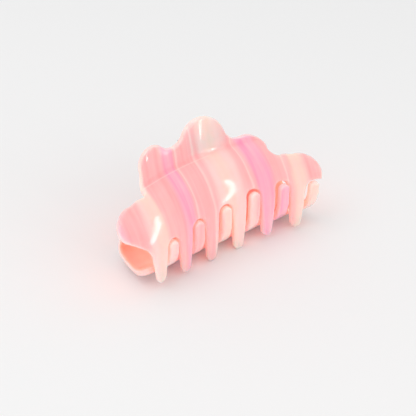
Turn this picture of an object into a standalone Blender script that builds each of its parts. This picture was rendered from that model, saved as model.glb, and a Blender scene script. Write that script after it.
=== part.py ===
"""Large acetate claw clip with cloud-shaped handles.

Two bent acetate jaws meet at a sprung pin hinge.  X runs along the clip,
Y from the toothed mouth towards the back, Z is up.  The clip is modelled
closed, lying on the belly of the rear jaw and the tips of the front teeth.
"""
import math

import bmesh
import bpy
from mathutils import Vector

MM = 0.001

# ---------------------------------------------------------------- sheet
SHEET = 3.0                    # acetate sheet thickness, mm
EDGE_ROUND = 0.75              # polished edge rounding, mm
ORIGIN_SHIFT = (0.30, -12.218, -0.976)   # resting plane at Z = 0, footprint centred, mm

# ---------------------------------------------------------------- jaw sections
# A section starts where the crease bend begins: (Y, Z), heading in degrees,
# then runs of (length mm, turn in degrees) towards the teeth.
FRONT_START = (15.6, 39.6)
FRONT_HEADING = 256.0
FRONT_RUNS = ((4.3, -62.0), (22.5, 70.0), (24.0, 14.0))
FRONT_BOW = (-3.7, -2.5)       # (Y, Z) offset of the section at BOW_REACH, mm
REAR_START = (23.6, 33.5)
REAR_HEADING = 210.0
REAR_RUNS = (
    (4.58, 75.0),
    (11.72, 0.0),
    (22.91, -105.0),
    (2.3, 0.0),
    (19.63, -90.0),
    (14.0, 0.0),
)
REAR_BOW = (-3.7, 2.5)
BOW_REACH = 36.0
BOW_CENTRE = 3.0

# ---------------------------------------------------------------- teeth
FRONT_TEETH = (-30.8, -18.8, -6.3, 6.4, 19.5, 32.6)
FRONT_WIDTHS = ((6.9, 4.2),) * 6
REAR_TEETH = (-24.7, -12.4, 0.25, 13.2, 26.4, 39.65)
REAR_WIDTHS = ((4.8, 4.2), (4.8, 4.4), (4.8, 4.4), (4.8, 4.4), (4.4, 4.0), (4.0, 3.8))
SLOT_CORNER = 2.8
FRONT_TIPS = (41.0, 44.4, 46.38, 46.5, 44.6, 43.6)
FRONT_SLOTS = (25.4, 24.1, 23.5, 21.5, 21.2)
FRONT_END_SLOT = 22.7
END_CORNER = 4.4                        # fillet between the last front tooth and its lobe
REAR_TIPS = (64.7, 68.3, 69.7, 71.1, 69.6, 65.6)
REAR_SLOT = 49.6
REAR_END = 51.5

# ---------------------------------------------------------------- cloud outline
# Rounded lobes as (x, distance past the crease, radius) and, after each one,
# the radius of the hollow that joins it to the next.
FRONT_LOBES = (
    ((-38.8, 12.2, 6.2), 8.0),
    ((-33.0, 13.6, 7.6), 1.5),
    ((-22.3, 4.6, 6.6), 8.0),
    ((-21.0, -3.6, 6.4), 6.0),
    ((1.6, -2.9, 9.9), 6.5),
    ((20.8, 5.2, 6.0), 3.0),
    ((31.0, 18.0, 7.0), 8.0),
    ((36.6, 19.2, 7.8), 0.0),
)
FRONT_CHEEK = (-36.0, 23.8)
REAR_LOBES = (
    ((-30.6, 33.6, 6.8), 14.0),
    ((-9.0, 0.8, 5.2), 3.0),
    ((5.5, -1.0, 8.2), 5.0),
    ((20.0, 6.4, 5.2), 14.0),
    ((33.6, 27.0, 8.0), 0.0),
)
REAR_CHEEK_LENGTH = 10.0
REAR_CORNER = 7.0

# ---------------------------------------------------------------- hinge
HINGE_AXIS = (19.9, 37.0)      # (Y, Z) of the pin
HINGE_X = 3.0                  # middle of the hinge, on the middle of the bow
HINGE_GAP = 0.35
LEAF_THICKNESS = 0.6
PIN_RADIUS = 0.9
PIN_HEAD_RADIUS = 1.55
PIN_HEAD_LENGTH = 0.7
FRONT_LEAF_HALF = 8.0
FRONT_KNUCKLES = (5.6, 8.0)
FRONT_LEAF_REACH = (1.6, 5.2)
REAR_LEAF_HALF = 5.3
REAR_KNUCKLES = (3.1, 5.3)
REAR_LEAF_REACH = (1.6, 6.0)
RIVET_SHANK = 0.75
RIVET_HEAD = 1.25
RIVET_HEAD_HEIGHT = 0.55
RIVET_DEPTH = 1.1
FRONT_RIVETS = (3.5, 4.6)      # (distance up the handle, +-x)
REAR_RIVETS = (4.3, 4.0)

# ---------------------------------------------------------------- spring
WIRE_RADIUS = 0.35
COIL_RADIUS = 1.7
COIL_HALF = 2.0
COIL_TURNS = 4
LEG_LENGTH = 6.2

ARC_STEP = 15.0                # degrees between outline points
BEND_STEP = 9.0                # degrees between bend stations
X_STATION = 7.5                # spacing of the bow stations, mm


# ================================================================ helpers
def unit(angle):
    """Unit vector of an angle in degrees."""
    return Vector((math.cos(math.radians(angle)), math.sin(math.radians(angle))))


def section_point(start, heading, runs, t):
    """Point and heading of a section at arc length t (mm)."""
    point = Vector(start)
    if t < 0.0:
        return point + unit(heading) * t, heading
    last = len(runs) - 1
    for index, (length, turn) in enumerate(runs):
        step = t if index == last else min(t, length)
        swing = turn * step / length
        if abs(turn) < 1e-9:
            point = point + unit(heading) * step
        else:
            radius = length / math.radians(turn)
            centre = point + unit(heading + 90.0) * radius
            point = centre + unit(heading + swing - 90.0) * radius
        heading = heading + swing
        t = t - step
        if t <= 1e-9:
            break
    return point, heading


def arc(centre, radius, first, last, step=ARC_STEP):
    """Points of an arc between two angles (degrees), both ends included."""
    count = max(1, math.ceil(abs(last - first) / step))
    return [Vector(centre) + unit(first + (last - first) * i / count) * radius for i in range(count + 1)]


def angle_of(vector):
    """Angle of a vector in degrees."""
    return math.degrees(math.atan2(vector.y, vector.x))


def hollow_centre(one, two, radius):
    """Centre of the circle touching two lobes from the open side."""
    c1 = Vector(one[:2])
    c2 = Vector(two[:2])
    r1 = one[2] + radius
    r2 = two[2] + radius
    span = (c2 - c1).length
    along = (r1 * r1 - r2 * r2 + span * span) / (2.0 * span)
    rise = math.sqrt(max(0.0, r1 * r1 - along * along))
    axis = (c2 - c1).normalized()
    side = Vector((axis.y, -axis.x))
    return c1 + axis * along + side * rise


def cloud_edge(lobes, first_angle, last_angle):
    """Outline over the lobes from left to right, hollows blended in."""
    points = []
    start = first_angle
    for index, (lobe, hollow) in enumerate(lobes):
        centre = Vector(lobe[:2])
        if index == len(lobes) - 1:
            finish = last_angle
        else:
            joint = hollow_centre(lobe, lobes[index + 1][0], hollow)
            finish = angle_of(joint - centre)
        finish = start + (finish - start) % 360.0
        points.extend(arc(centre, lobe[2], start, finish))
        if index == len(lobes) - 1:
            break
        following = Vector(lobes[index + 1][0][:2])
        entry = angle_of(centre - joint)
        leave = angle_of(following - joint)
        while leave > entry:
            leave = leave - 360.0
        points.extend(arc(joint, hollow, entry, leave)[1:-1])
        start = angle_of(joint - following)
    return points


def tooth(centre, tip, left_root, right_root, widths):
    """Outline of one tooth from its right root to its left root."""
    radius = widths[1] / 2.0
    half = widths[0] / 2.0
    points = [Vector((centre + half, right_root + SLOT_CORNER))]
    points.extend(arc((centre, tip - radius), radius, 0.0, 180.0, 22.5))
    points.append(Vector((centre - half, left_root + SLOT_CORNER)))
    return points


def slot(index, centres, widths, root):
    """Outline of the slot between two teeth, from right to left."""
    right = centres[index] - widths[index][0] / 2.0
    left = centres[index - 1] + widths[index - 1][0] / 2.0
    corner = min(SLOT_CORNER, (right - left) / 2.0 - 0.1)
    points = arc((right - corner, root + corner), corner, 0.0, -90.0, 30.0)
    points.extend(arc((left + corner, root + corner), corner, -90.0, -180.0, 30.0))
    return points


def tooth_row(centres, widths, tips, roots, left_root, right_root):
    """Outline of the whole row of teeth, from right to left."""
    points = []
    count = len(tips)
    for index in reversed(range(count)):
        centre = centres[index]
        left = roots[index - 1] if index > 0 else left_root
        right = roots[index] if index < count - 1 else right_root
        points.extend(tooth(centre, tips[index], left, right, widths[index]))
        if index > 0:
            points.extend(slot(index, centres, widths, roots[index - 1]))
    return points


def front_outline():
    """Flat outline of the front jaw blank."""
    lobe = FRONT_LOBES[-1][0]
    last = math.degrees(math.asin((FRONT_END_SLOT - lobe[1]) / lobe[2]))
    points = cloud_edge(FRONT_LOBES, 135.0, last)
    right = FRONT_TEETH[-1] + FRONT_WIDTHS[-1][0] / 2.0
    corner = (right + END_CORNER, FRONT_END_SLOT + END_CORNER)
    points.extend(arc(corner, END_CORNER, -90.0, -180.0, 30.0)[:-1])
    left_root = FRONT_CHEEK[1] + 1.0
    end_root = FRONT_END_SLOT + END_CORNER - SLOT_CORNER
    row = tooth_row(
        FRONT_TEETH, FRONT_WIDTHS, FRONT_TIPS, FRONT_SLOTS, left_root, end_root
    )
    points.extend(row)
    points.append(Vector(FRONT_CHEEK))
    return points


def rear_outline():
    """Flat outline of the rear jaw blank."""
    roots = [REAR_SLOT] * 5
    points = cloud_edge(REAR_LOBES, 180.0, 0.0)
    lobe = REAR_LOBES[-1][0]
    points.append(Vector((lobe[0] + lobe[2], lobe[1] + REAR_CHEEK_LENGTH)))
    row = tooth_row(REAR_TEETH, REAR_WIDTHS, REAR_TIPS, roots, REAR_END, REAR_SLOT + 2.0)
    points.extend(row)
    left = REAR_TEETH[0] - REAR_WIDTHS[0][0] / 2.0
    corner = (left - SLOT_CORNER, REAR_END + SLOT_CORNER)
    points.extend(arc(corner, SLOT_CORNER, 0.0, -90.0, 30.0)[1:])
    lobe = REAR_LOBES[0][0]
    lower = (lobe[0] - lobe[2] + REAR_CORNER, REAR_END - REAR_CORNER)
    points.extend(arc(lower, REAR_CORNER, 90.0, 180.0))
    return points


def inset(points, amount):
    """Move a closed outline inwards by a small amount."""
    area = 0.0
    count = len(points)
    for index in range(count):
        one = points[index]
        two = points[(index + 1) % count]
        area += one.x * two.y - two.x * one.y
    turn = 1.0 if area > 0.0 else -1.0
    result = []
    for index in range(count):
        before = (points[index] - points[index - 1]).normalized()
        after = (points[(index + 1) % count] - points[index]).normalized()
        normal = Vector((-(before + after).y, (before + after).x)).normalized() * turn
        lean = max(0.5, normal.dot(Vector((-after.y, after.x)) * turn))
        result.append(points[index] + normal * (amount / lean))
    return result


def clean(points, least=0.12):
    """Drop outline points that sit on top of each other."""
    kept = []
    for point in points:
        if not kept or (point - kept[-1]).length > least:
            kept.append(point)
    while (kept[0] - kept[-1]).length <= least:
        kept.pop()
    return kept


def bend_stations(runs):
    """Arc lengths at which the blank is creased into facets."""
    stations = [0.0]
    t = 0.0
    for length, turn in runs:
        count = max(1, math.ceil(abs(turn) / BEND_STEP))
        stations.extend(t + length * i / count for i in range(1, count + 1))
        t = t + length
    return stations[:-1]


def material(name, colour, metallic, roughness):
    """A plain Principled material."""
    result = bpy.data.materials.new(name)
    result.use_nodes = True
    shader = result.node_tree.nodes["Principled BSDF"]
    shader.inputs["Base Color"].default_value = (*colour, 1.0)
    shader.inputs["Metallic"].default_value = metallic
    shader.inputs["Roughness"].default_value = roughness
    result.diffuse_color = (*colour, 1.0)
    return result


def add_object(name, mesh_builder, paint):
    """Turn a bmesh into a named object with one material."""
    mesh = bpy.data.meshes.new(name)
    bmesh.ops.recalc_face_normals(mesh_builder, faces=mesh_builder.faces)
    mesh_builder.to_mesh(mesh)
    mesh_builder.free()
    mesh.materials.append(paint)
    result = bpy.data.objects.new(name, mesh)
    bpy.context.scene.collection.objects.link(result)
    return result


def world(x, y, z):
    """Millimetres in the section frame to metres in the part frame."""
    return Vector((x + ORIGIN_SHIFT[0], y + ORIGIN_SHIFT[1], z + ORIGIN_SHIFT[2])) * MM


def hinge_origin(obj):
    """Put an object's origin on the hinge axis without moving its mesh."""
    centre = world(HINGE_X, HINGE_AXIS[0], HINGE_AXIS[1])
    for vertex in obj.data.vertices:
        vertex.co = vertex.co - centre
    obj.location = centre


def cutter(name, mesh_builder, target):
    """Hidden cutter object and the Boolean that uses it."""
    mesh = bpy.data.meshes.new(name)
    bmesh.ops.recalc_face_normals(mesh_builder, faces=mesh_builder.faces)
    mesh_builder.to_mesh(mesh)
    mesh_builder.free()
    result = bpy.data.objects.new(name, mesh)
    bpy.context.scene.collection.objects.link(result)
    result.hide_render = True
    result.display_type = "WIRE"
    modifier = target.modifiers.new(name, "BOOLEAN")
    modifier.operation = "DIFFERENCE"
    modifier.solver = "EXACT"
    modifier.object = result
    return result


# ================================================================ jaws
def bent_sheet(outline, start, heading, runs, bow, outward):
    """Bend a flat blank into a jaw; returns a closed bmesh."""
    half = SHEET / 2.0
    rim = clean(outline)
    inner = inset(rim, EDGE_ROUND)
    flat = bmesh.new()
    low = [flat.verts.new((p.x, p.y, half - EDGE_ROUND)) for p in rim]
    high = [flat.verts.new((p.x, p.y, half)) for p in inner]
    count = len(rim)
    for i in range(count):
        j = (i + 1) % count
        flat.faces.new((low[i], low[j], high[j], high[i]))
    flat.faces.new(high)
    for t in bend_stations(runs):
        everything = flat.verts[:] + flat.edges[:] + flat.faces[:]
        bmesh.ops.bisect_plane(flat, geom=everything, dist=0.0005, plane_co=(0, t, 0), plane_no=(0, 1, 0))
    steps = int(max(abs(p.x - BOW_CENTRE) for p in rim) / X_STATION)
    for i in range(-steps, steps + 1):
        cut = (BOW_CENTRE + i * X_STATION, 0, 0)
        everything = flat.verts[:] + flat.edges[:] + flat.faces[:]
        bmesh.ops.bisect_plane(flat, geom=everything, dist=0.0005, plane_co=cut, plane_no=(1, 0, 0))
    bmesh.ops.triangulate(flat, faces=flat.faces[:])
    flat.verts.ensure_lookup_table()
    solid = bmesh.new()
    pair = []
    for vertex in flat.verts:
        x, t, thick = vertex.co
        point, direction = section_point(start, heading, runs, t)
        normal = unit(direction + 90.0 * outward)
        lift = ((x - BOW_CENTRE) / BOW_REACH) ** 2
        y = point.x + bow[0] * lift
        z = point.y + bow[1] * lift
        outer = solid.verts.new(world(x, y + normal.x * thick, z + normal.y * thick))
        under = solid.verts.new(world(x, y - normal.x * thick, z - normal.y * thick))
        pair.append((outer, under))
    for face in flat.faces:
        ids = [v.index for v in face.verts]
        solid.faces.new([pair[i][0] for i in ids])
        solid.faces.new([pair[i][1] for i in reversed(ids)])
    for edge in flat.edges:
        if edge.is_boundary:
            i = edge.verts[0].index
            j = edge.verts[1].index
            a, b = pair[i]
            c, d = pair[j]
            solid.faces.new((a, c, d))
            solid.faces.new((a, d, b))
    flat.free()
    return solid


# ================================================================ hinge parts
def leaf_frame(start, heading, outward):
    """Origin, handle direction and hinge-side normal of a leaf, in (Y, Z)."""
    along = unit(heading + 180.0)
    normal = unit(heading - 90.0 * outward)
    return Vector(start) + normal * (SHEET / 2.0), along, normal


def leaf_profile(frame, reach):
    """Centre line of a leaf: flat plate first, then the rolled knuckle."""
    origin, along, normal = frame
    axis = Vector(HINGE_AXIS)
    base = HINGE_GAP + LEAF_THICKNESS / 2.0
    plate = [origin + along * reach[1] + normal * base, origin + along * reach[0] + normal * base]
    radius = PIN_RADIUS + 0.3 + LEAF_THICKNESS / 2.0
    offset = plate[1] - axis
    spread = math.degrees(math.acos(radius / offset.length))
    side = 1.0 if along.x * normal.y - along.y * normal.x > 0.0 else -1.0
    first = angle_of(offset) + spread * side
    roll = [axis + unit(first + side * 270.0 * i / 12) * radius for i in range(13)]
    return plate, roll


def thicken(points, half):
    """Left and right side of a thick line."""
    left = []
    right = []
    for index, point in enumerate(points):
        before = points[index] - points[index - 1] if index > 0 else points[1] - points[0]
        after = points[index + 1] - points[index] if index < len(points) - 1 else before
        middle = (before.normalized() + after.normalized()).normalized()
        normal = Vector((-middle.y, middle.x))
        stretch = 1.0 / max(0.6, normal.dot(Vector((-after.y, after.x)).normalized()))
        left.append(point + normal * half * stretch)
        right.append(point - normal * half * stretch)
    return left, right


def hinge_leaf(name, frame, reach, half_width, knuckles, paint):
    """Stamped leaf with two rolled knuckles as one closed body."""
    plate, roll = leaf_profile(frame, reach)
    left, right = thicken(plate + roll, LEAF_THICKNESS / 2.0)
    stations = sorted({-half_width, -knuckles[1], -knuckles[0], knuckles[0], knuckles[1], half_width})
    build = bmesh.new()

    def put(points, x):
        return [build.verts.new(world(HINGE_X + x, p.x, p.y)) for p in points]

    rings = [put([left[0], left[1], right[1], right[0]], x) for x in stations]
    for i in range(len(stations) - 1):
        one = rings[i]
        two = rings[i + 1]
        middle = abs(stations[i] + stations[i + 1]) / 2.0
        knuckle = knuckles[0] < middle < knuckles[1]
        build.faces.new((one[0], one[1], two[1], two[0]))
        build.faces.new((one[2], one[3], two[3], two[2]))
        build.faces.new((one[3], one[0], two[0], two[3]))
        if not knuckle:
            build.faces.new((one[1], one[2], two[2], two[1]))
            continue
        chain = left[2:] + right[:1:-1]
        arm_one = [one[1]] + put(chain, stations[i]) + [one[2]]
        arm_two = [two[1]] + put(chain, stations[i + 1]) + [two[2]]
        for k in range(len(arm_one) - 1):
            build.faces.new((arm_one[k], arm_one[k + 1], arm_two[k + 1], arm_two[k]))
        for ring in (arm_one, arm_two):
            cap = ring
            half = len(cap) // 2
            for k in range(half - 1):
                build.faces.new((cap[k], cap[k + 1], cap[-2 - k], cap[-1 - k]))
    build.faces.new(rings[0])
    build.faces.new(list(reversed(rings[-1])))
    return add_object(name, build, paint)


def lathe(points, origin, axis, sides):
    """Closed solid of revolution; points are (distance along axis, radius)."""
    build = bmesh.new()
    axis = axis.normalized()
    across = axis.orthogonal().normalized()
    third = axis.cross(across)
    rings = []
    for along, radius in points:
        centre = origin + axis * along
        if radius < 1e-9:
            rings.append([build.verts.new(centre)])
            continue
        ring = []
        for i in range(sides):
            turn = 2.0 * math.pi * i / sides
            ring.append(build.verts.new(centre + (across * math.cos(turn) + third * math.sin(turn)) * radius))
        rings.append(ring)
    for one, two in zip(rings, rings[1:]):
        for i in range(sides):
            j = (i + 1) % sides
            if len(one) == 1:
                build.faces.new((one[0], two[i], two[j]))
            elif len(two) == 1:
                build.faces.new((one[i], two[0], one[j]))
            else:
                build.faces.new((one[i], two[i], two[j], one[j]))
    return build


def hinge_pin(paint):
    """Pin with two peened heads."""
    reach = FRONT_KNUCKLES[1] + HINGE_GAP
    head = PIN_HEAD_LENGTH
    profile = (
        (-reach - head, 0.0),
        (-reach - head, PIN_HEAD_RADIUS * 0.72),
        (-reach - head * 0.6, PIN_HEAD_RADIUS),
        (-reach, PIN_HEAD_RADIUS),
        (-reach, PIN_RADIUS),
        (reach, PIN_RADIUS),
        (reach, PIN_HEAD_RADIUS),
        (reach + head * 0.6, PIN_HEAD_RADIUS),
        (reach + head, PIN_HEAD_RADIUS * 0.72),
        (reach + head, 0.0),
    )
    profile = [(a * MM, r * MM) for a, r in profile]
    centre = world(HINGE_X, HINGE_AXIS[0], HINGE_AXIS[1])
    return add_object("hinge_pin", lathe(profile, centre, Vector((1, 0, 0)), 20), paint)


def rivet_line(frame, up, x):
    """Surface point of a rivet on a handle and its outward axis."""
    origin, along, normal = frame
    spot = origin + along * up
    return world(HINGE_X + x, spot.x, spot.y), Vector((0.0, normal.x, normal.y))


def rivet(name, frame, up, x, paint):
    """Blind rivet: domed head over the leaf, shank sunk in the acetate."""
    point, axis = rivet_line(frame, up, x)
    top = HINGE_GAP + LEAF_THICKNESS + 0.3
    profile = (
        (-RIVET_DEPTH, 0.0),
        (-RIVET_DEPTH, RIVET_SHANK),
        (top, RIVET_SHANK),
        (top, RIVET_HEAD),
        (top + RIVET_HEAD_HEIGHT * 0.55, RIVET_HEAD * 0.92),
        (top + RIVET_HEAD_HEIGHT, RIVET_HEAD * 0.5),
        (top + RIVET_HEAD_HEIGHT, 0.0),
    )
    profile = [(a * MM, r * MM) for a, r in profile]
    return add_object(name, lathe(profile, point, axis, 14), paint)


def drill(name, frame, up, x, low, high, target):
    """Round hole for a rivet shank."""
    point, axis = rivet_line(frame, up, x)
    radius = (RIVET_SHANK + 0.3) * MM
    profile = ((low * MM, 0.0), (low * MM, radius), (high * MM, radius), (high * MM, 0.0))
    return cutter(name, lathe(profile, point, axis, 14), target)


# ================================================================ spring
def spring_path():
    """Centre line of the torsion spring, front leg to rear leg."""
    axis = Vector(HINGE_AXIS)
    front = leaf_frame(FRONT_START, FRONT_HEADING, -1.0)
    rear = leaf_frame(REAR_START, REAR_HEADING, 1.0)
    first = angle_of(-front[2])
    last = angle_of(-rear[2])
    turns = COIL_TURNS * 360.0 + ((last - first) % 360.0)
    points = []
    count = COIL_TURNS * 14
    start = axis + unit(first) * COIL_RADIUS
    for i in range(3, 0, -1):
        spot = start + front[1] * (LEG_LENGTH * i / 3)
        points.append(Vector((-COIL_HALF, spot.x, spot.y)))
    for i in range(count + 1):
        spot = axis + unit(first + turns * i / count) * COIL_RADIUS
        points.append(Vector((-COIL_HALF + 2.0 * COIL_HALF * i / count, spot.x, spot.y)))
    finish = axis + unit(first + turns) * COIL_RADIUS
    for i in range(1, 4):
        spot = finish + rear[1] * (LEG_LENGTH * i / 3)
        points.append(Vector((COIL_HALF, spot.x, spot.y)))
    return points


def sweep(points, radius, sides):
    """Round wire along a path, capped at both ends."""
    build = bmesh.new()
    rings = []
    guide = Vector((1, 0, 0))
    for index, point in enumerate(points):
        ahead = points[min(index + 1, len(points) - 1)] - points[max(index - 1, 0)]
        ahead.normalize()
        across = (guide - ahead * guide.dot(ahead)).normalized()
        third = ahead.cross(across)
        ring = []
        for i in range(sides):
            turn = 2.0 * math.pi * i / sides
            spot = point + (across * math.cos(turn) + third * math.sin(turn)) * radius
            ring.append(build.verts.new(world(HINGE_X + spot.x, spot.y, spot.z)))
        rings.append(ring)
    for one, two in zip(rings, rings[1:]):
        for i in range(sides):
            j = (i + 1) % sides
            build.faces.new((one[i], two[i], two[j], one[j]))
    build.faces.new(rings[0])
    build.faces.new(list(reversed(rings[-1])))
    return build


# ================================================================ build
def build_part():
    for obj in list(bpy.data.objects):
        bpy.data.objects.remove(obj)
    pink = material("acetate_front", (0.95, 0.52, 0.50), 0.0, 0.12)
    rose = material("acetate_rear", (0.95, 0.50, 0.50), 0.0, 0.12)
    steel_front = material("steel_front_leaf", (0.72, 0.72, 0.74), 1.0, 0.28)
    steel_rear = material("steel_rear_leaf", (0.70, 0.70, 0.72), 1.0, 0.30)
    steel_pin = material("steel_pin", (0.66, 0.66, 0.68), 1.0, 0.22)
    steel_wire = material("spring_wire", (0.60, 0.60, 0.63), 1.0, 0.25)

    front_frame = leaf_frame(FRONT_START, FRONT_HEADING, -1.0)
    rear_frame = leaf_frame(REAR_START, REAR_HEADING, 1.0)

    front = bent_sheet(front_outline(), FRONT_START, FRONT_HEADING, FRONT_RUNS, FRONT_BOW, -1.0)
    front_jaw = add_object("front_jaw", front, pink)
    rear = bent_sheet(rear_outline(), REAR_START, REAR_HEADING, REAR_RUNS, REAR_BOW, 1.0)
    rear_jaw = add_object("rear_jaw", rear, rose)

    front_leaf = hinge_leaf(
        "front_leaf", front_frame, FRONT_LEAF_REACH, FRONT_LEAF_HALF, FRONT_KNUCKLES, steel_front
    )
    rear_leaf = hinge_leaf("rear_leaf", rear_frame, REAR_LEAF_REACH, REAR_LEAF_HALF, REAR_KNUCKLES, steel_rear)
    hinge_pin(steel_pin)
    wire = add_object("torsion_spring", sweep(spring_path(), WIRE_RADIUS, 8), steel_wire)

    sets = (
        ("front", front_frame, FRONT_RIVETS, front_jaw, front_leaf),
        ("rear", rear_frame, REAR_RIVETS, rear_jaw, rear_leaf),
    )
    moving = [front_jaw, front_leaf]
    for label, frame, (up, spread), jaw, leaf in sets:
        for side, x in (("left", -spread), ("right", spread)):
            name = label + "_rivet_" + side
            paint = material("rivet_" + label + "_" + side, (0.68, 0.68, 0.70), 1.0, 0.25)
            piece = rivet(name, frame, up, x, paint)
            pocket = -RIVET_DEPTH - 0.3
            drill("cut_" + label + "_jaw_" + side, frame, up, x, pocket, 1.0, jaw)
            drill("cut_" + label + "_leaf_" + side, frame, up, x, -0.5, 3.0, leaf)
            if label == "front":
                moving.append(piece)
    moving.append(wire)
    for piece in moving:
        hinge_origin(piece)


build_part()
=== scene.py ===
"""Looks for the claw clip: finely bent striped acetate jaws, steel hinge, studio.

Lengths are in millimetres up to world(), which turns them into metres.
"""
import math

import bmesh
import bpy
from mathutils import Matrix, Vector

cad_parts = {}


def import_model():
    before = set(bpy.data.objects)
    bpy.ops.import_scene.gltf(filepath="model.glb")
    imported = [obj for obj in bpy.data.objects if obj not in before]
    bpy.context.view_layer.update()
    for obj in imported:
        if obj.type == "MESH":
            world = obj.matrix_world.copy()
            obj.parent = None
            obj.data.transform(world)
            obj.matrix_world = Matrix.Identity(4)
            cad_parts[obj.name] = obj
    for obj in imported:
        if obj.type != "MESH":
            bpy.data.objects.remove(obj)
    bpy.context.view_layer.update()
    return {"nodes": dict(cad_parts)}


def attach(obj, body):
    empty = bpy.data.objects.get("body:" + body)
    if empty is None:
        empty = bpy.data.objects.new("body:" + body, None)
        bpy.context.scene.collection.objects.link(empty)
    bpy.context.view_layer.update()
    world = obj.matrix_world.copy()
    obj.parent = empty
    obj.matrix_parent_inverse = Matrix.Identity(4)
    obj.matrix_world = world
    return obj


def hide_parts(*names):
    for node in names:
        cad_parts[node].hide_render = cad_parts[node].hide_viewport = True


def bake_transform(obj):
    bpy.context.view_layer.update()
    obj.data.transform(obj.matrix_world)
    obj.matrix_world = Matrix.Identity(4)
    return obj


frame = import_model()

MM = 0.001

# ---------------------------------------------------------------- dimensions shared with the part
SHEET = 3.0                    # acetate sheet thickness
EDGE_ROUND = 1.0               # polished edge rounding
ORIGIN_SHIFT = (0.30, -12.218, -0.976)   # resting plane at Z = 0, footprint centred

# A section starts where the crease bend begins: (Y, Z), heading in degrees,
# then runs of (length, turn in degrees) towards the teeth.
FRONT_START = (15.6, 39.6)
FRONT_HEADING = 256.0
FRONT_RUNS = ((4.3, -62.0), (22.5, 70.0), (24.0, 14.0))
FRONT_BOW = (-3.7, -2.5)       # (Y, Z) offset of the section at BOW_REACH
REAR_START = (23.6, 33.5)
REAR_HEADING = 210.0
REAR_RUNS = (
    (4.58, 75.0),
    (11.72, 0.0),
    (22.91, -105.0),
    (2.3, 0.0),
    (19.63, -90.0),
    (14.0, 0.0),
)
REAR_BOW = (-3.7, 2.5)
BOW_REACH = 36.0
BOW_CENTRE = 3.0

# Teeth: middle of each along X, (root, tip) widths, and how far past the crease they reach.
FRONT_TEETH = (-30.8, -18.8, -6.3, 6.4, 19.5, 32.6)
FRONT_WIDTHS = ((6.9, 4.2),) * 6
REAR_TEETH = (-24.7, -12.4, 0.25, 13.2, 26.4, 39.65)
REAR_WIDTHS = ((4.8, 4.2), (4.8, 4.4), (4.8, 4.4), (4.8, 4.4), (4.4, 4.0), (4.0, 3.8))
SLOT_CORNER = 2.8
FRONT_TIPS = (41.0, 44.4, 46.38, 46.5, 44.6, 43.6)
FRONT_SLOTS = (25.4, 24.1, 23.5, 21.5, 21.2)
FRONT_END_SLOT = 22.7
END_CORNER = 4.4               # fillet between the last front tooth and its lobe
REAR_TIPS = (64.7, 68.3, 69.7, 71.1, 69.6, 65.6)
REAR_SLOT = 49.6
REAR_END = 51.5

# Rounded lobes as (x, distance past the crease, radius) and, after each one,
# the radius of the hollow that joins it to the next.
FRONT_LOBES = (
    ((-38.8, 12.2, 6.2), 8.0),
    ((-33.0, 13.6, 7.6), 1.5),
    ((-22.3, 4.6, 6.6), 8.0),
    ((-21.0, -3.6, 6.4), 6.0),
    ((1.6, -2.9, 9.9), 6.5),
    ((20.8, 5.2, 6.0), 3.0),
    ((31.0, 18.0, 7.0), 8.0),
    ((36.6, 19.2, 7.8), 0.0),
)
FRONT_CHEEK = (-36.0, 23.8)
REAR_LOBES = (
    ((-30.6, 33.6, 6.8), 14.0),
    ((-9.0, 0.8, 5.2), 3.0),
    ((5.5, -1.0, 8.2), 5.0),
    ((20.0, 6.4, 5.2), 14.0),
    ((33.6, 27.0, 8.0), 0.0),
)
REAR_CHEEK_LENGTH = 10.0
REAR_CORNER = 7.0

HINGE_AXIS = (19.9, 37.0)      # (Y, Z) of the pin
HINGE_X = 3.0                  # middle of the hinge along X
HINGE_GAP = 0.35
LEAF_THICKNESS = 0.6
PIN_RADIUS = 0.9
PIN_HEAD_RADIUS = 1.55
PIN_HEAD_LENGTH = 0.7
PIN_REACH = 8.0 + HINGE_GAP    # half length of the pin between its heads
RIVET_SHANK = 0.75
RIVET_HEAD = 1.25
RIVET_HEAD_HEIGHT = 0.55
FRONT_RIVETS = (3.5, 4.6)      # (distance up the handle, +-x)
REAR_RIVETS = (4.3, 4.0)
WIRE_RADIUS = 0.35
COIL_RADIUS = 1.7
COIL_HALF = 2.0
COIL_TURNS = 4
LEG_LENGTH = 6.2

# ---------------------------------------------------------------- fineness of the skins
ARC_STEP = 6.0                 # degrees between points on a lobe
SLOT_STEP = 12.0               # degrees between points on a tooth tip or a slot
BEND_STEP = 4.0                # degrees between cuts round a bend
BEND_LENGTH = 3.0              # and the longest stretch between cuts
X_STATION = 2.5                # distance between cuts along X
EDGE_LEANS = (0.0, 22.5, 45.0, 67.5, 90.0)   # steps of the edge rounding, degrees
CUT_SNAP = 0.0005
RIVET_SIDES = 40
PIN_SIDES = 48
WIRE_SIDES = 16


# ---------------------------------------------------------------- geometry
def unit(angle):
    """Direction in a section or a blank, from its angle in degrees."""
    return Vector((math.cos(math.radians(angle)), math.sin(math.radians(angle))))


def section_point(start, heading, runs, t):
    """Point on a section at distance t past the crease, and the heading there."""
    point = Vector(start)
    if t < 0.0:
        return point + unit(heading) * t, heading
    last = len(runs) - 1
    for index, (length, turn) in enumerate(runs):
        step = t if index == last else min(t, length)
        swing = turn * step / length
        if abs(turn) < 1e-9:
            point = point + unit(heading) * step
        else:
            radius = length / math.radians(turn)
            centre = point + unit(heading + 90.0) * radius
            point = centre + unit(heading + swing - 90.0) * radius
        heading = heading + swing
        t = t - step
        if t <= 1e-9:
            break
    return point, heading


def arc(centre, radius, first, last, step=ARC_STEP):
    count = max(1, math.ceil(abs(last - first) / step))
    return [Vector(centre) + unit(first + (last - first) * i / count) * radius for i in range(count + 1)]


def angle_of(vector):
    return math.degrees(math.atan2(vector.y, vector.x))


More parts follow.
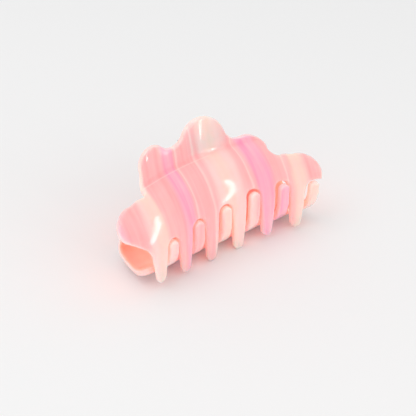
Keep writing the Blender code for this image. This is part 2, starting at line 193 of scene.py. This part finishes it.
def hollow_centre(one, two, radius):
    """Centre of the hollow that touches two neighbouring lobes."""
    c1 = Vector(one[:2])
    c2 = Vector(two[:2])
    r1 = one[2] + radius
    r2 = two[2] + radius
    span = (c2 - c1).length
    along = (r1 * r1 - r2 * r2 + span * span) / (2.0 * span)
    rise = math.sqrt(max(0.0, r1 * r1 - along * along))
    axis = (c2 - c1).normalized()
    return c1 + axis * along + Vector((axis.y, -axis.x)) * rise


def cloud_edge(lobes, first_angle, last_angle):
    """Lobes joined by hollows, as one run of points."""
    points = []
    start = first_angle
    for index, (lobe, hollow) in enumerate(lobes):
        centre = Vector(lobe[:2])
        if index == len(lobes) - 1:
            finish = last_angle
        else:
            joint = hollow_centre(lobe, lobes[index + 1][0], hollow)
            finish = angle_of(joint - centre)
        finish = start + (finish - start) % 360.0
        points.extend(arc(centre, lobe[2], start, finish))
        if index == len(lobes) - 1:
            break
        following = Vector(lobes[index + 1][0][:2])
        entry = angle_of(centre - joint)
        leave = angle_of(following - joint)
        while leave > entry:
            leave = leave - 360.0
        points.extend(arc(joint, hollow, entry, leave)[1:-1])
        start = angle_of(joint - following)
    return points


def tooth(centre, tip, left_root, right_root, widths):
    radius = widths[1] / 2.0
    half = widths[0] / 2.0
    points = [Vector((centre + half, right_root + SLOT_CORNER))]
    points.extend(arc((centre, tip - radius), radius, 0.0, 180.0, SLOT_STEP))
    points.append(Vector((centre - half, left_root + SLOT_CORNER)))
    return points


def slot(index, centres, widths, root):
    right = centres[index] - widths[index][0] / 2.0
    left = centres[index - 1] + widths[index - 1][0] / 2.0
    corner = min(SLOT_CORNER, (right - left) / 2.0 - 0.1)
    points = arc((right - corner, root + corner), corner, 0.0, -90.0, SLOT_STEP)
    points.extend(arc((left + corner, root + corner), corner, -90.0, -180.0, SLOT_STEP))
    return points


def tooth_row(centres, widths, tips, roots, left_root, right_root):
    """Teeth and slots from right to left."""
    points = []
    count = len(tips)
    for index in reversed(range(count)):
        centre = centres[index]
        left = roots[index - 1] if index > 0 else left_root
        right = roots[index] if index < count - 1 else right_root
        points.extend(tooth(centre, tips[index], left, right, widths[index]))
        if index > 0:
            points.extend(slot(index, centres, widths, roots[index - 1]))
    return points


def front_outline():
    lobe = FRONT_LOBES[-1][0]
    last = math.degrees(math.asin((FRONT_END_SLOT - lobe[1]) / lobe[2]))
    points = cloud_edge(FRONT_LOBES, 135.0, last)
    right = FRONT_TEETH[-1] + FRONT_WIDTHS[-1][0] / 2.0
    corner = (right + END_CORNER, FRONT_END_SLOT + END_CORNER)
    points.extend(arc(corner, END_CORNER, -90.0, -180.0, SLOT_STEP)[:-1])
    left_root = FRONT_CHEEK[1] + 1.0
    end_root = FRONT_END_SLOT + END_CORNER - SLOT_CORNER
    points.extend(tooth_row(
        FRONT_TEETH, FRONT_WIDTHS, FRONT_TIPS, FRONT_SLOTS, left_root, end_root
    ))
    points.append(Vector(FRONT_CHEEK))
    return points


def rear_outline():
    roots = [REAR_SLOT] * 5
    points = cloud_edge(REAR_LOBES, 180.0, 0.0)
    lobe = REAR_LOBES[-1][0]
    points.append(Vector((lobe[0] + lobe[2], lobe[1] + REAR_CHEEK_LENGTH)))
    points.extend(tooth_row(
        REAR_TEETH, REAR_WIDTHS, REAR_TIPS, roots, REAR_END, REAR_SLOT + 2.0
    ))
    left = REAR_TEETH[0] - REAR_WIDTHS[0][0] / 2.0
    corner = (left - SLOT_CORNER, REAR_END + SLOT_CORNER)
    points.extend(arc(corner, SLOT_CORNER, 0.0, -90.0, SLOT_STEP)[1:])
    lobe = REAR_LOBES[0][0]
    lower = (lobe[0] - lobe[2] + REAR_CORNER, REAR_END - REAR_CORNER)
    points.extend(arc(lower, REAR_CORNER, 90.0, 180.0))
    return points


def inset(points, amount):
    """The outline moved inwards by the same amount all round."""
    area = 0.0
    count = len(points)
    for index in range(count):
        one = points[index]
        two = points[(index + 1) % count]
        area += one.x * two.y - two.x * one.y
    turn = 1.0 if area > 0.0 else -1.0
    result = []
    for index in range(count):
        before = (points[index] - points[index - 1]).normalized()
        after = (points[(index + 1) % count] - points[index]).normalized()
        normal = Vector((-(before + after).y, (before + after).x)).normalized() * turn
        lean = max(0.5, normal.dot(Vector((-after.y, after.x)) * turn))
        result.append(points[index] + normal * (amount / lean))
    return result


def clean(points, least=0.1):
    """The outline without points that lie on top of each other."""
    kept = []
    for point in points:
        if not kept or (point - kept[-1]).length > least:
            kept.append(point)
    while (kept[0] - kept[-1]).length <= least:
        kept.pop()
    return kept


def world(x, y, z):
    """Millimetres in the clip to metres in the scene."""
    return Vector((x + ORIGIN_SHIFT[0], y + ORIGIN_SHIFT[1], z + ORIGIN_SHIFT[2])) * MM


def bend_stations(runs, last):
    """Distances past the crease where the blank is cut so that it bends smoothly."""
    stations = [0.0]
    t = 0.0
    for length, turn in runs:
        count = max(1, math.ceil(abs(turn) / BEND_STEP), math.ceil(length / BEND_LENGTH))
        stations.extend(t + length * i / count for i in range(1, count + 1))
        t = t + length
    return [s for s in stations if s < last]


def bent_sheet(outline, start, heading, runs, bow, outward):
    """Bends a flat blank with polished round edges into a jaw."""
    half = SHEET / 2.0
    rim = clean(outline)
    flat = bmesh.new()
    rings = []
    for lean in EDGE_LEANS:
        push = EDGE_ROUND * (1.0 - math.cos(math.radians(lean)))
        rise = half - EDGE_ROUND + EDGE_ROUND * math.sin(math.radians(lean))
        rings.append([flat.verts.new((p.x, p.y, rise)) for p in inset(rim, push)])
    count = len(rim)
    for low, high in zip(rings, rings[1:]):
        for i in range(count):
            j = (i + 1) % count
            flat.faces.new((low[i], low[j], high[j], high[i]))
    flat.faces.new(rings[-1])
    reach = max(p.y for p in rim)
    for t in bend_stations(runs, reach):
        everything = flat.verts[:] + flat.edges[:] + flat.faces[:]
        cut = (0, t, 0)
        bmesh.ops.bisect_plane(flat, geom=everything, dist=CUT_SNAP, plane_co=cut, plane_no=(0, 1, 0))
    steps = int(max(abs(p.x - BOW_CENTRE) for p in rim) / X_STATION)
    for i in range(-steps, steps + 1):
        cut = (BOW_CENTRE + i * X_STATION, 0, 0)
        everything = flat.verts[:] + flat.edges[:] + flat.faces[:]
        bmesh.ops.bisect_plane(flat, geom=everything, dist=CUT_SNAP, plane_co=cut, plane_no=(1, 0, 0))
    bmesh.ops.triangulate(flat, faces=[f for f in flat.faces if len(f.verts) > 4])
    flat.verts.ensure_lookup_table()
    solid = bmesh.new()
    blank = solid.verts.layers.float_vector.new("blank")
    pair = []
    for vertex in flat.verts:
        x, t, thick = vertex.co
        point, direction = section_point(start, heading, runs, t)
        normal = unit(direction + 90.0 * outward)
        lift = ((x - BOW_CENTRE) / BOW_REACH) ** 2
        y = point.x + bow[0] * lift
        z = point.y + bow[1] * lift
        outer = solid.verts.new(world(x, y + normal.x * thick, z + normal.y * thick))
        under = solid.verts.new(world(x, y - normal.x * thick, z - normal.y * thick))
        outer[blank] = (x, t, thick)
        under[blank] = (x, t, -thick)
        pair.append((outer, under))
    for face in flat.faces:
        ids = [v.index for v in face.verts]
        solid.faces.new([pair[i][0] for i in ids])
        solid.faces.new([pair[i][1] for i in reversed(ids)])
    for edge in flat.edges:
        if edge.is_boundary:
            a, b = pair[edge.verts[0].index]
            c, d = pair[edge.verts[1].index]
            solid.faces.new((a, c, d, b))
    flat.free()
    return solid


def add_object(name, build, paint):
    mesh = bpy.data.meshes.new(name)
    bmesh.ops.recalc_face_normals(build, faces=build.faces)
    for face in build.faces:
        face.smooth = True
    build.to_mesh(mesh)
    build.free()
    mesh.materials.append(paint)
    result = bpy.data.objects.new(name, mesh)
    bpy.context.scene.collection.objects.link(result)
    return result


def leaf_frame(start, heading, outward):
    """Where a hinge leaf lies: its foot, the way up the handle, and off the sheet."""
    along = unit(heading + 180.0)
    normal = unit(heading - 90.0 * outward)
    return Vector(start) + normal * (SHEET / 2.0), along, normal


def lathe(points, origin, axis, sides):
    """Turned shape from (along, radius) points."""
    build = bmesh.new()
    axis = axis.normalized()
    across = axis.orthogonal().normalized()
    third = axis.cross(across)
    rings = []
    for along, radius in points:
        centre = origin + axis * along * MM
        if radius < 1e-9:
            rings.append([build.verts.new(centre)])
            continue
        ring = []
        for i in range(sides):
            turn = 2.0 * math.pi * i / sides
            reach = (across * math.cos(turn) + third * math.sin(turn)) * radius * MM
            ring.append(build.verts.new(centre + reach))
        rings.append(ring)
    for one, two in zip(rings, rings[1:]):
        for i in range(sides):
            j = (i + 1) % sides
            if len(one) == 1:
                build.faces.new((one[0], two[i], two[j]))
            elif len(two) == 1:
                build.faces.new((one[i], two[0], one[j]))
            else:
                build.faces.new((one[i], two[i], two[j], one[j]))
    return build


def dome(base, radius, height, steps=7):
    """Profile of a rounded head from its rim to its crown."""
    return [
        (base + height * math.sin(math.pi * i / (2 * steps)), radius * math.cos(math.pi * i / (2 * steps)))
        for i in range(steps)
    ] + [(base + height, 0.0)]


def spring_path():
    """Middle line of the spring wire: a leg on each leaf and the coil between."""
    axis = Vector(HINGE_AXIS)
    front = leaf_frame(FRONT_START, FRONT_HEADING, -1.0)
    rear = leaf_frame(REAR_START, REAR_HEADING, 1.0)
    first = angle_of(-front[2])
    last = angle_of(-rear[2])
    turns = COIL_TURNS * 360.0 + ((last - first) % 360.0)
    points = []
    count = COIL_TURNS * 40
    start = axis + unit(first) * COIL_RADIUS
    for i in range(8, 0, -1):
        spot = start + front[1] * (LEG_LENGTH * i / 8)
        points.append(Vector((-COIL_HALF, spot.x, spot.y)))
    for i in range(count + 1):
        spot = axis + unit(first + turns * i / count) * COIL_RADIUS
        points.append(Vector((-COIL_HALF + 2.0 * COIL_HALF * i / count, spot.x, spot.y)))
    finish = axis + unit(first + turns) * COIL_RADIUS
    for i in range(1, 9):
        spot = finish + rear[1] * (LEG_LENGTH * i / 8)
        points.append(Vector((COIL_HALF, spot.x, spot.y)))
    return points


def sweep(points, radius, sides):
    """Round wire along a line of points."""
    build = bmesh.new()
    rings = []
    guide = Vector((1, 0, 0))
    for index, point in enumerate(points):
        ahead = points[min(index + 1, len(points) - 1)] - points[max(index - 1, 0)]
        ahead.normalize()
        across = (guide - ahead * guide.dot(ahead)).normalized()
        third = ahead.cross(across)
        ring = []
        for i in range(sides):
            turn = 2.0 * math.pi * i / sides
            spot = point + (across * math.cos(turn) + third * math.sin(turn)) * radius
            ring.append(build.verts.new(world(HINGE_X + spot.x, spot.y, spot.z)))
        rings.append(ring)
    for one, two in zip(rings, rings[1:]):
        for i in range(sides):
            j = (i + 1) % sides
            build.faces.new((one[i], two[i], two[j], one[j]))
    build.faces.new(rings[0])
    build.faces.new(list(reversed(rings[-1])))
    return build


# ---------------------------------------------------------------- materials
PINK = (254, 173, 175)
ROSE = (253, 160, 188)
CREAM = (240, 207, 196)
BLUSH = (255, 206, 202)
LILAC = (252, 174, 198)
PAINTED_GLOW = (255, 138, 104)         # painted glow on the inner side, standing in for light carried inside the sheet
STREAK = (255, 216, 211)       # fine streaks in every band
EDGE_HIGHLIGHT = (255, 226, 220)         # painted highlight on the polished cut edges and along the crease

# Colour bands as (x, colour), blended from each to the next.
FRONT_BANDS = (
    (-46.0, LILAC), (-41.0, PINK), (-35.5, PINK), (-33.0, BLUSH), (-30.6, CREAM), (-28.2, CREAM),
    (-26.0, PINK), (-19.0, PINK), (-16.8, ROSE), (-13.8, ROSE), (-12.4, PINK), (-11.8, BLUSH), (-11.2, PINK),
    (-5.2, PINK), (-4.7, BLUSH), (-3.6, PINK), (-0.6, BLUSH), (3.0, CREAM), (4.4, CREAM),
    (7.4, BLUSH), (12.6, PINK), (13.2, BLUSH), (13.8, PINK), (16.6, ROSE), (20.6, ROSE),
    (23.6, PINK), (28.3, PINK), (28.9, BLUSH), (29.5, PINK), (33.0, CREAM), (35.6, CREAM), (38.4, PINK),
)
REAR_BANDS = (
    (-40.0, PINK), (-34.0, PINK), (-30.0, BLUSH), (-25.0, BLUSH), (-22.0, PINK), (-18.0, ROSE),
    (-13.0, PINK), (-9.0, PINK), (-3.0, PINK), (-1.2, CREAM), (2.2, CREAM), (4.5, PINK),
    (9.0, ROSE), (12.0, BLUSH), (15.0, PINK), (19.0, PINK), (24.0, ROSE), (28.0, ROSE),
    (31.0, PINK), (37.5, CREAM), (44.0, CREAM),
)
SPAN = 48.0                    # the bands run from -SPAN to SPAN
DRIFT = 5.0                    # how far the bands wander in all
CROWN_X = 1.4                  # the polish is slightly crowned about this x
CROWN_BEND = 0.006             # and its slope grows by this per millimetre
FOLD_AT = 4.2                  # painted highlight line in the crease: distance past its start
FOLD_WIDTH = 0.35              # half its width
FOLD_END = 4.0                 # x where it starts to show, on the way to x = 0


def linear(colour):
    """sRGB 0-255 to linear 0-1."""
    result = []
    for value in colour:
        value = value / 255.0
        result.append(value / 12.92 if value <= 0.04045 else ((value + 0.055) / 1.055) ** 2.4)
    return (*result, 1.0)


class Nodes:
    """Small helper to wire up a shader."""

    def __init__(self, name):
        self.material = bpy.data.materials.new(name)
        self.material.use_nodes = True
        self.tree = self.material.node_tree
        self.shader = self.tree.nodes["Principled BSDF"]

    def add(self, kind, settings=(), inputs=()):
        node = self.tree.nodes.new(kind)
        for key, value in settings:
            setattr(node, key, value)
        for key, value in inputs:
            if isinstance(value, bpy.types.NodeSocket):
                self.tree.links.new(value, node.inputs[key])
            else:
                node.inputs[key].default_value = value
        return node

    def link(self, source, socket):
        self.tree.links.new(source, self.shader.inputs[socket])

    def set(self, **values):
        for key, value in values.items():
            self.shader.inputs[key.replace("_", " ")].default_value = value

    def maths(self, operation, *values):
        return self.add("ShaderNodeMath", (("operation", operation),), tuple(enumerate(values))).outputs[0]

    def ranged(self, value, before, after):
        """Value moved from one range to another and held at its ends."""
        ends = (("From Min", before[0]), ("From Max", before[1]), ("To Min", after[0]), ("To Max", after[1]))
        return self.add("ShaderNodeMapRange", (), (("Value", value), *ends)).outputs[0]

    def mix(self, factor, one, two):
        pair = (("Factor", factor), ("A", one), ("B", two))
        return self.add("ShaderNodeMix", (("data_type", "RGBA"),), pair).outputs["Result"]

    def stretched(self, place, factors):
        both = ((0, place), (1, factors))
        return self.add("ShaderNodeVectorMath", (("operation", "MULTIPLY"),), both).outputs[0]

    def noise(self, place, scale, detail):
        inputs = (("Vector", place), ("Scale", scale), ("Detail", detail))
        return self.add("ShaderNodeTexNoise", (), inputs).outputs["Fac"]

    def bump(self, height, strength, distance):
        inputs = (("Height", height), ("Strength", strength), ("Distance", distance))
        return self.add("ShaderNodeBump", (), inputs).outputs[0]


def band_colour(nodes, place, x, bands):
    """Soft colour bands along x that wander a little."""
    drift = nodes.noise(nodes.stretched(place, (0.10, 0.035, 0.10)), 1.0, 2.0)
    across = nodes.maths("ADD", x, nodes.maths("MULTIPLY", nodes.maths("SUBTRACT", drift, 0.5), DRIFT))
    ramp = nodes.add("ShaderNodeValToRGB", (), ((0, nodes.ranged(across, (-SPAN, SPAN), (0.0, 1.0))),))
    ramp.color_ramp.interpolation = "EASE"
    points = ramp.color_ramp.elements
    while len(points) > 1:
        points.remove(points[-1])
    for index, (x_band, colour) in enumerate(bands):
        position = (x_band + SPAN) / (2.0 * SPAN)
        spot = points[0] if index == 0 else points.new(position)
        spot.position = position
        spot.color = linear(colour)
    return ramp.outputs["Color"]


def acetate(name, bands, crease):
    """Poured acetate sheet: soft colour bands, fine streaks, painted highlights on the cut edges and in the
    crease (crease sets how strong the crease one is), a painted inner glow and a deep polish.
    """
    nodes = Nodes(name)
    place = nodes.add("ShaderNodeAttribute", (("attribute_name", "blank"),)).outputs["Vector"]
    split = nodes.add("ShaderNodeSeparateXYZ", (), ((0, place),))
    x, past_crease, through = split.outputs

    streak = nodes.noise(nodes.stretched(place, (1.0, 0.05, 0.3)), 0.62, 3.0)
    colour = band_colour(nodes, place, x, bands)
    colour = nodes.mix(nodes.ranged(streak, (0.3, 0.7), (0.0, 0.40)), colour, linear(STREAK))
    # Painted highlights mixed into the base colour: a light rim on the rounded cut edges and, where crease
    # is above zero, a light line along the crease.
    rim = nodes.ranged(nodes.maths("ABSOLUTE", through), (1.42, 0.9), (0.0, 0.45))
    fold = nodes.maths("COMPARE", past_crease, FOLD_AT, FOLD_WIDTH)
    fade = nodes.ranged(x, (FOLD_END, 0.0), (0.0, crease))
    painted_highlight = nodes.maths("MAXIMUM", rim, nodes.maths("MULTIPLY", fold, fade))
    colour = nodes.mix(painted_highlight, colour, linear(EDGE_HIGHLIGHT))
    # Painted glow: the inner side of the sheet is tinted orange, standing in for light carried through the
    # acetate.
    colour = nodes.mix(nodes.ranged(through, (-0.6, -1.3), (0.0, 0.55)), colour, linear(PAINTED_GLOW))
    nodes.link(colour, "Base Color")
    # Painted glow: a faint orange emission, strongest on the inner side, standing in for light carried
    # through the acetate.
    nodes.link(nodes.ranged(through, (1.3, -0.5), (0.0, 0.20)), "Emission Strength")
    nodes.set(Emission_Color=linear(PAINTED_GLOW))

    nodes.link(nodes.bump(nodes.noise(place, 0.16, 1.0), 0.12, 0.0006), "Normal")
    offset = nodes.maths("SUBTRACT", x, CROWN_X)
    crown = nodes.maths("MULTIPLY", nodes.maths("MULTIPLY", offset, offset), -CROWN_BEND / 2.0)
    nodes.link(nodes.bump(crown, 1.0, MM), "Coat Normal")
    nodes.link(nodes.ranged(streak, (0.0, 1.0), (0.16, 0.26)), "Roughness")
    nodes.set(Subsurface_Weight=1.0, Subsurface_Radius=(1.0, 0.42, 0.34), Subsurface_Scale=0.008, IOR=1.49)
    nodes.set(Specular_IOR_Level=0.0, Coat_Weight=1.0, Coat_Roughness=0.05)
    return nodes.material


def steel(name, colour, rough, grain):
    """Drawn or stamped steel with fine rubbing marks."""
    nodes = Nodes(name)
    place = nodes.add("ShaderNodeTexCoord").outputs["Object"]
    marks = nodes.noise(nodes.stretched(place, grain), 1000.0, 5.0)
    shade = nodes.add("ShaderNodeValToRGB", (), ((0, marks),))
    shade.color_ramp.elements[0].color = linear([c * 0.82 for c in colour])
    shade.color_ramp.elements[1].color = linear(colour)
    nodes.link(shade.outputs["Color"], "Base Color")
    nodes.link(nodes.ranged(marks, (0.0, 1.0), (rough - 0.08, rough + 0.1)), "Roughness")
    nodes.link(nodes.bump(marks, 0.2, 0.00004), "Normal")
    nodes.set(Metallic=1.0)
    return nodes.material


# ---------------------------------------------------------------- pieces
front_acetate = acetate("acetate_front_bands", FRONT_BANDS, 0.3)
rear_acetate = acetate("acetate_rear_bands", REAR_BANDS, 0.0)
leaf_steel = steel("stamped_leaf_steel", (205, 205, 208), 0.28, (0.25, 3.0, 3.0))
pin_steel = steel("pin_steel", (214, 214, 218), 0.2, (3.0, 1.0, 1.0))
wire_steel = steel("spring_wire_steel", (190, 190, 196), 0.22, (1.0, 1.0, 1.0))

front_sheet = bent_sheet(front_outline(), FRONT_START, FRONT_HEADING, FRONT_RUNS, FRONT_BOW, -1.0)
front_shell = add_object("front_jaw_shell", front_sheet, front_acetate)
rear_sheet = bent_sheet(rear_outline(), REAR_START, REAR_HEADING, REAR_RUNS, REAR_BOW, 1.0)
rear_shell = add_object("rear_jaw_shell", rear_sheet, rear_acetate)
for piece, node, body, name in (
    (front_shell, "front_jaw", "front_body", "acetate_front"),
    (rear_shell, "rear_jaw", "rear_body", "acetate_rear"),
):
    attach(piece, body)
    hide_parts(node)

profile = [(-PIN_REACH, PIN_RADIUS), (PIN_REACH, PIN_RADIUS), (PIN_REACH, PIN_HEAD_RADIUS)]
crown = dome(PIN_REACH + PIN_HEAD_LENGTH * 0.3, PIN_HEAD_RADIUS, PIN_HEAD_LENGTH * 0.7)
profile = [(-a, r) for a, r in reversed(crown)] + [(-PIN_REACH, PIN_HEAD_RADIUS)] + profile + crown
pin_shape = lathe(profile, world(HINGE_X, *HINGE_AXIS), Vector((1, 0, 0)), PIN_SIDES)
pin = add_object("hinge_pin_peened", pin_shape, pin_steel)
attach(pin, "rear_body")
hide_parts("hinge_pin")

for label, plate, (up, spread) in (
    ("front", leaf_frame(FRONT_START, FRONT_HEADING, -1.0), FRONT_RIVETS),
    ("rear", leaf_frame(REAR_START, REAR_HEADING, 1.0), REAR_RIVETS),
):
    for side, x in (("left", -spread), ("right", spread)):
        spot = plate[0] + plate[1] * up
        seat = HINGE_GAP + LEAF_THICKNESS + 0.02
        shape = [(-0.2, 0.0), (-0.2, RIVET_SHANK), (seat, RIVET_SHANK), (seat, RIVET_HEAD)]
        shape.extend(dome(seat + 0.14, RIVET_HEAD, RIVET_HEAD_HEIGHT))
        axis = Vector((0.0, plate[2].x, plate[2].y))
        rivet = add_object(
            label + "_rivet_head_" + side,
            lathe(shape, world(HINGE_X + x, spot.x, spot.y), axis, RIVET_SIDES),
            pin_steel,
        )
        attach(rivet, label + "_body")
        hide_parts(label + "_rivet_" + side)

for label in ("front", "rear"):
    leaf = frame["nodes"][label + "_leaf"]
    leaf.material_slots[0].material = leaf_steel
    bevel = leaf.modifiers.new("edge_wear", "BEVEL")
    bevel.width = 0.00012
    bevel.segments = 2
    bevel.limit_method = "ANGLE"
    bevel.angle_limit = math.radians(40.0)

wire = add_object("spring_wire_coil", sweep(spring_path(), WIRE_RADIUS, WIRE_SIDES), wire_steel)
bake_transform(wire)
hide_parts("torsion_spring")

# ---------------------------------------------------------------- studio
# Lengths from here on are in metres.
FLOOR_HALF = 3.0
FLOOR_TONE = 0.86
SKY_STRENGTH = 0.82
STRIP_SIZE = (0.03, 0.8)
STRIP_POWER = 0.7
# Each strip: the spot on the front jaw that mirrors it, and the directions from that spot
# towards its low end, its middle and its high end.
STRIPS = (
    (
        "strip_left",
        (-0.0303, -0.0152, 0.0264),
        (0.28, -0.94, -0.18),
        (0.22, -0.90, 0.37),
        (0.15, -0.66, 0.735),
    ),
    (
        "strip_right",
        (0.0005, -0.0123, 0.0279),
        (0.49, -0.86, -0.14),
        (0.51, -0.82, 0.29),
        (0.54, -0.60, 0.60),
    ),
)
LIGHTS_AIM = (0.0, 0.0, 0.02)
GLOW_STATIONS = (-0.026, 0.002, 0.03)   # along X
GLOW_PLACE = (-0.006, 0.016)            # Y and Z, inside the closed clip
GLOW_POWER = 0.0018

floor_build = bmesh.new()
bmesh.ops.create_grid(floor_build, x_segments=1, y_segments=1, size=FLOOR_HALF)
floor_nodes = Nodes("studio_floor")
floor_nodes.set(Base_Color=(FLOOR_TONE, FLOOR_TONE, FLOOR_TONE, 1.0), Roughness=0.9, Specular_IOR_Level=0.1)
floor = add_object("studio_floor", floor_build, floor_nodes.material)

background = bpy.data.worlds.new("studio_world")
background.use_nodes = True
sky = background.node_tree.nodes["Background"]
sky.inputs["Color"].default_value = (1.0, 1.0, 1.0, 1.0)
sky.inputs["Strength"].default_value = SKY_STRENGTH
bpy.context.scene.world = background
bpy.context.scene.view_settings.view_transform = "Standard"


def softbox(name, place, aim, size, power):
    """Rectangular area light that faces its aim."""
    light = bpy.data.lights.new(name, "AREA")
    light.shape = "RECTANGLE"
    light.size = size[0]
    light.size_y = size[1]
    light.energy = power
    result = bpy.data.objects.new(name, light)
    result.location = place
    result.rotation_euler = (Vector(aim) - Vector(place)).to_track_quat("-Z", "Y").to_euler()
    bpy.context.scene.collection.objects.link(result)
    return result


def strip_light(name, spot, low, middle, high):
    """Narrow softbox about a metre from its spot, its long side from low to high."""
    strip = softbox(name, Vector(spot) + Vector(middle), spot, STRIP_SIZE, STRIP_POWER)
    facing = Vector(middle).normalized()
    side = (Vector(high) - Vector(low)).cross(facing).normalized()
    tall = facing.cross(side)
    turned = Matrix((side, tall, facing)).transposed().to_4x4()
    strip.matrix_world = Matrix.Translation(strip.location) @ turned


def carried_glow():
    """Faint light that the coloured sheet passes on to its inside and the floor."""
    light = bpy.data.lights.new("carried_glow", "POINT")
    light.color = (1.0, 0.34, 0.22)
    light.energy = GLOW_POWER
    light.shadow_soft_size = 0.006
    for x in GLOW_STATIONS:
        glow = bpy.data.objects.new("carried_glow", light)
        glow.location = (x, *GLOW_PLACE)
        glow.visible_camera = False
        glow.visible_glossy = False
        bpy.context.scene.collection.objects.link(glow)


for strip_values in STRIPS:
    strip_light(*strip_values)
carried_glow()
softbox("overhead", (-0.45, 0.15, 0.85), LIGHTS_AIM, (0.7, 0.7), 1.8)
fill = softbox("fill", (-0.35, -0.85, 0.45), LIGHTS_AIM, (0.8, 0.8), 1.1)
fill.visible_glossy = False

# ---------------------------------------------------------------- camera
TURN = math.radians(35.86)     # to the left of the front
DIP = math.radians(39.0)       # below the horizon
EYE_DISTANCE = 0.360
AIM_LEFT = 0.00963             # from the anchor, across the view
AIM_UP = 0.01602               # and up the view
LENS = 78.9                    # mm, like the sensor
SENSOR = 36.0

right = Vector((math.cos(TURN), -math.sin(TURN), 0.0))
up = Vector((math.sin(TURN) * math.sin(DIP), math.cos(TURN) * math.sin(DIP), math.cos(DIP)))
ahead = Vector((math.sin(TURN) * math.cos(DIP), math.cos(TURN) * math.cos(DIP), -math.sin(DIP)))
anchor = world(4.5, 0.0, 0.0)
eye = anchor - ahead * EYE_DISTANCE
target = anchor - right * AIM_LEFT + up * AIM_UP
camera_data = bpy.data.cameras.new("camera")
camera_data.lens = LENS
camera_data.sensor_width = SENSOR
camera_data.clip_start = 0.01
camera = bpy.data.objects.new("camera", camera_data)
camera.location = eye
camera.rotation_euler = (target - eye).to_track_quat("-Z", "Y").to_euler()
bpy.context.scene.collection.objects.link(camera)
bpy.context.scene.camera = camera
